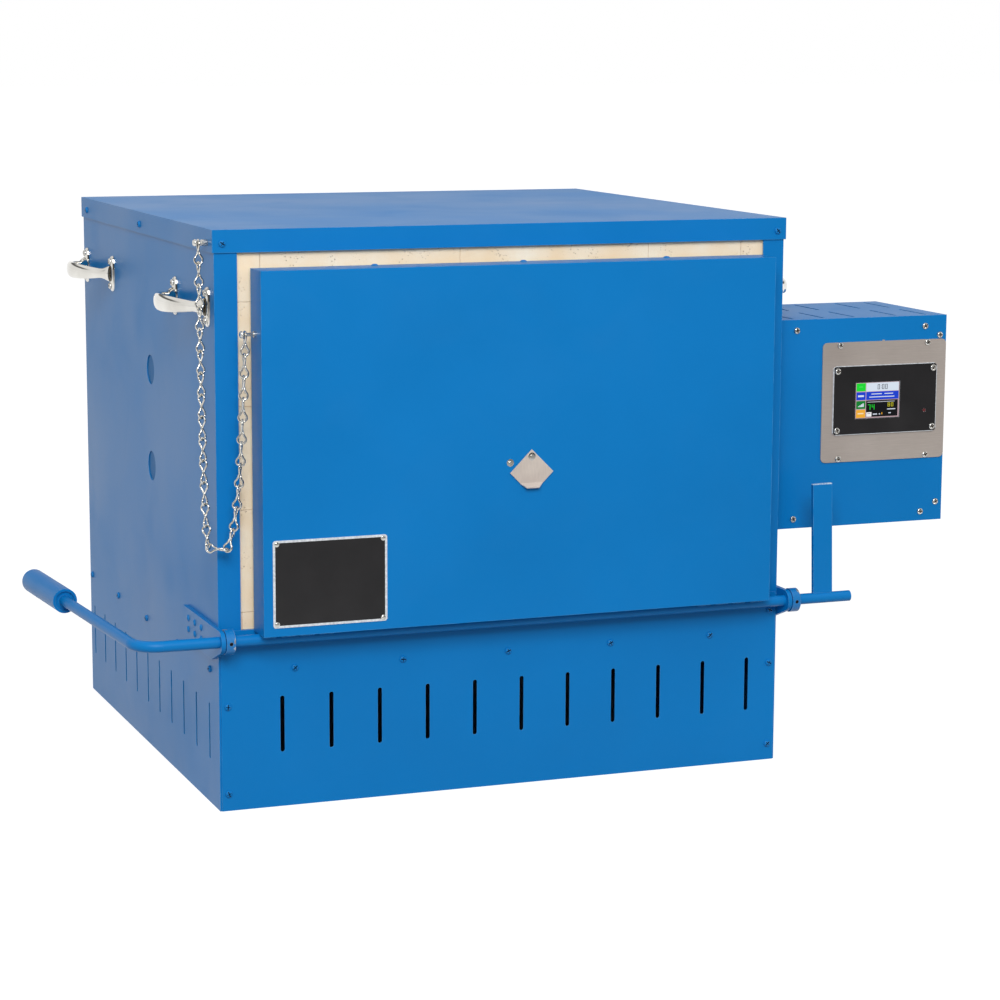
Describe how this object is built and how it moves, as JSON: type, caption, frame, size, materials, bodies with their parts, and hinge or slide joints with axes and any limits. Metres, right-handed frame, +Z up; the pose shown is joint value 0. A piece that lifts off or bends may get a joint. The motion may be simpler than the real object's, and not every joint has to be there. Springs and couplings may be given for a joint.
{
  "type": "bead annealing kiln",
  "caption": "Front-loading bead annealing kiln: blue sheet-steel casing with brick lining, drop-down door on a rod with an arm, restraint chain and side control box.",
  "frame": {"origin": "middle of the casing's bottom front edge, on the surface that the kiln stands on", "axes": "+X to the kiln's right, towards the control box; +Y to its back; +Z up; the door faces -Y"},
  "size_m": [1.0559, 0.6889, 0.645],
  "materials": {
    "blue_enamel": "semi-gloss blue powder coat",
    "fire_brick": "soft pitted insulating fire brick",
    "fibre_blanket": "white ceramic fibre",
    "element_wire": "oxidised resistance wire",
    "glazed_tube": "dense ceramic tube",
    "bare_steel": "brushed stainless steel",
    "polished_chrome": "polished chrome plate",
    "zinc_steel": "bright zinc plate",
    "black_enamel": "satin black coating",
    "display_glass": "glossy touch screen",
    "red_lens": "small dark red lens",
    "circuit_board": "green circuit board",
    "black_plastic": "matt black plastic",
    "brown_bakelite": "brown moulded plastic",
    "collar_steel": "turned steel, painted over in part",
    "dark_steel": "blackened steel"
  },
  "bodies": {
    "casing": {"side_panel_left": "blue_enamel", "side_panel_right": "blue_enamel", "back_panel": "blue_enamel", "top_cover": "blue_enamel", "base_front_panel": "blue_enamel", "brick_shelf": "blue_enamel", "port_plugs": "blue_enamel", "left_wall_bricks": "fire_brick", "right_wall_bricks": "fire_brick", "back_wall_bricks": "fire_brick", "roof_bricks": "fire_brick", "floor_bricks": "fire_brick", "fibre_blankets": "fibre_blanket", "heating_elements": "element_wire", "lead_bushes": "glazed_tube", "thermocouple": "bare_steel", "handle_left_front": "polished_chrome", "handle_left_rear": "polished_chrome", "handle_right_front": "polished_chrome", "handle_right_rear": "polished_chrome", "handle_screws": "zinc_steel", "casing_screws": "blue_enamel", "hinge_bracket_left": "blue_enamel", "hinge_bracket_right": "blue_enamel", "bracket_rivets": "blue_enamel", "chain_anchor": "zinc_steel", "control_box_shell": "blue_enamel", "control_box_front": "blue_enamel", "box_screws": "zinc_steel", "mounting_plate": "bare_steel", "panel_screws": "zinc_steel", "controller_faceplate": "black_enamel", "display_module": "display_glass", "status_light": "red_lens", "controller_board": "circuit_board", "power_relays": "black_plastic", "terminal_block": "brown_bakelite", "cord_gland": "black_plastic"},
    "door": {"door_shell": "blue_enamel", "door_lining": "fire_brick", "door_frame": "blue_enamel", "door_screws": "blue_enamel", "door_chain_screw": "zinc_steel", "info_plate": "black_enamel", "door_rivets": "zinc_steel", "peephole_tube": "glazed_tube", "hinge_rod": "blue_enamel", "arm_grip": "blue_enamel", "lever_bar": "blue_enamel", "shaft_collars": "collar_steel", "collar_screws": "dark_steel", "rod_welds": "blue_enamel"},
    "viewer_cover": {"peephole_cover": "bare_steel"},
    "casing_chain": {"chain_leg_casing": "zinc_steel"},
    "left_link": {"chain_link_left": "zinc_steel"},
    "bottom_link": {"chain_link_bottom": "zinc_steel"},
    "door_chain": {"chain_leg_door": "zinc_steel"},
    "right_link": {"chain_link_right": "zinc_steel"}
  },
  "joints": [
    {"name": "door_swing", "type": "hinge", "parent": "casing", "child": "door", "pos_m": [0, -0.02, 0.1965], "axis": [1, 0, 0], "range_deg": [0, 90]},
    {"name": "cover_swing", "type": "hinge", "parent": "door", "child": "viewer_cover", "pos_m": [0.0113, -0.0439, 0.3877], "axis": [0, -1, 0], "range_deg": [-7, 80]},
    {"name": "chain_top_swing", "type": "hinge", "parent": "casing", "child": "casing_chain", "pos_m": [-0.353, 0.018, 0.6301], "axis": [-0.7732, 0.0219, 0.6338], "range_deg": [-1, 32]},
    {"name": "left_link_swing", "type": "hinge", "parent": "casing_chain", "child": "left_link", "pos_m": [-0.353, 0.00013, 0.32221], "axis": [0.6539, -0.7072, -0.2688], "range_deg": [-1, 19]},
    {"name": "bottom_link_swing", "type": "hinge", "parent": "left_link", "child": "bottom_link", "pos_m": [-0.353, -0.00746, 0.29955], "axis": [0.6564, 0.7461, -0.1118], "range_deg": [-1, 49]},
    {"name": "chain_door_swing", "type": "hinge", "parent": "door", "child": "door_chain", "pos_m": [-0.31318, -0.02202, 0.53335], "axis": [0.9566, -0.1708, -0.2361], "range_deg": [-1, 32]},
    {"name": "right_link_swing", "type": "hinge", "parent": "door_chain", "child": "right_link", "pos_m": [-0.32846, -0.02202, 0.32103], "axis": [-0.0703, -0.5667, -0.8209], "range_deg": [-1, 25]}
  ],
  "couplings": [
    {"joint": "chain_top_swing", "follows": "door_swing", "ratio": 0.34017},
    {"joint": "left_link_swing", "follows": "door_swing", "ratio": 0.18907},
    {"joint": "bottom_link_swing", "follows": "door_swing", "ratio": 0.52968},
    {"joint": "chain_door_swing", "follows": "door_swing", "ratio": 0.33369},
    {"joint": "right_link_swing", "follows": "door_swing", "ratio": 0.266}
  ]
}
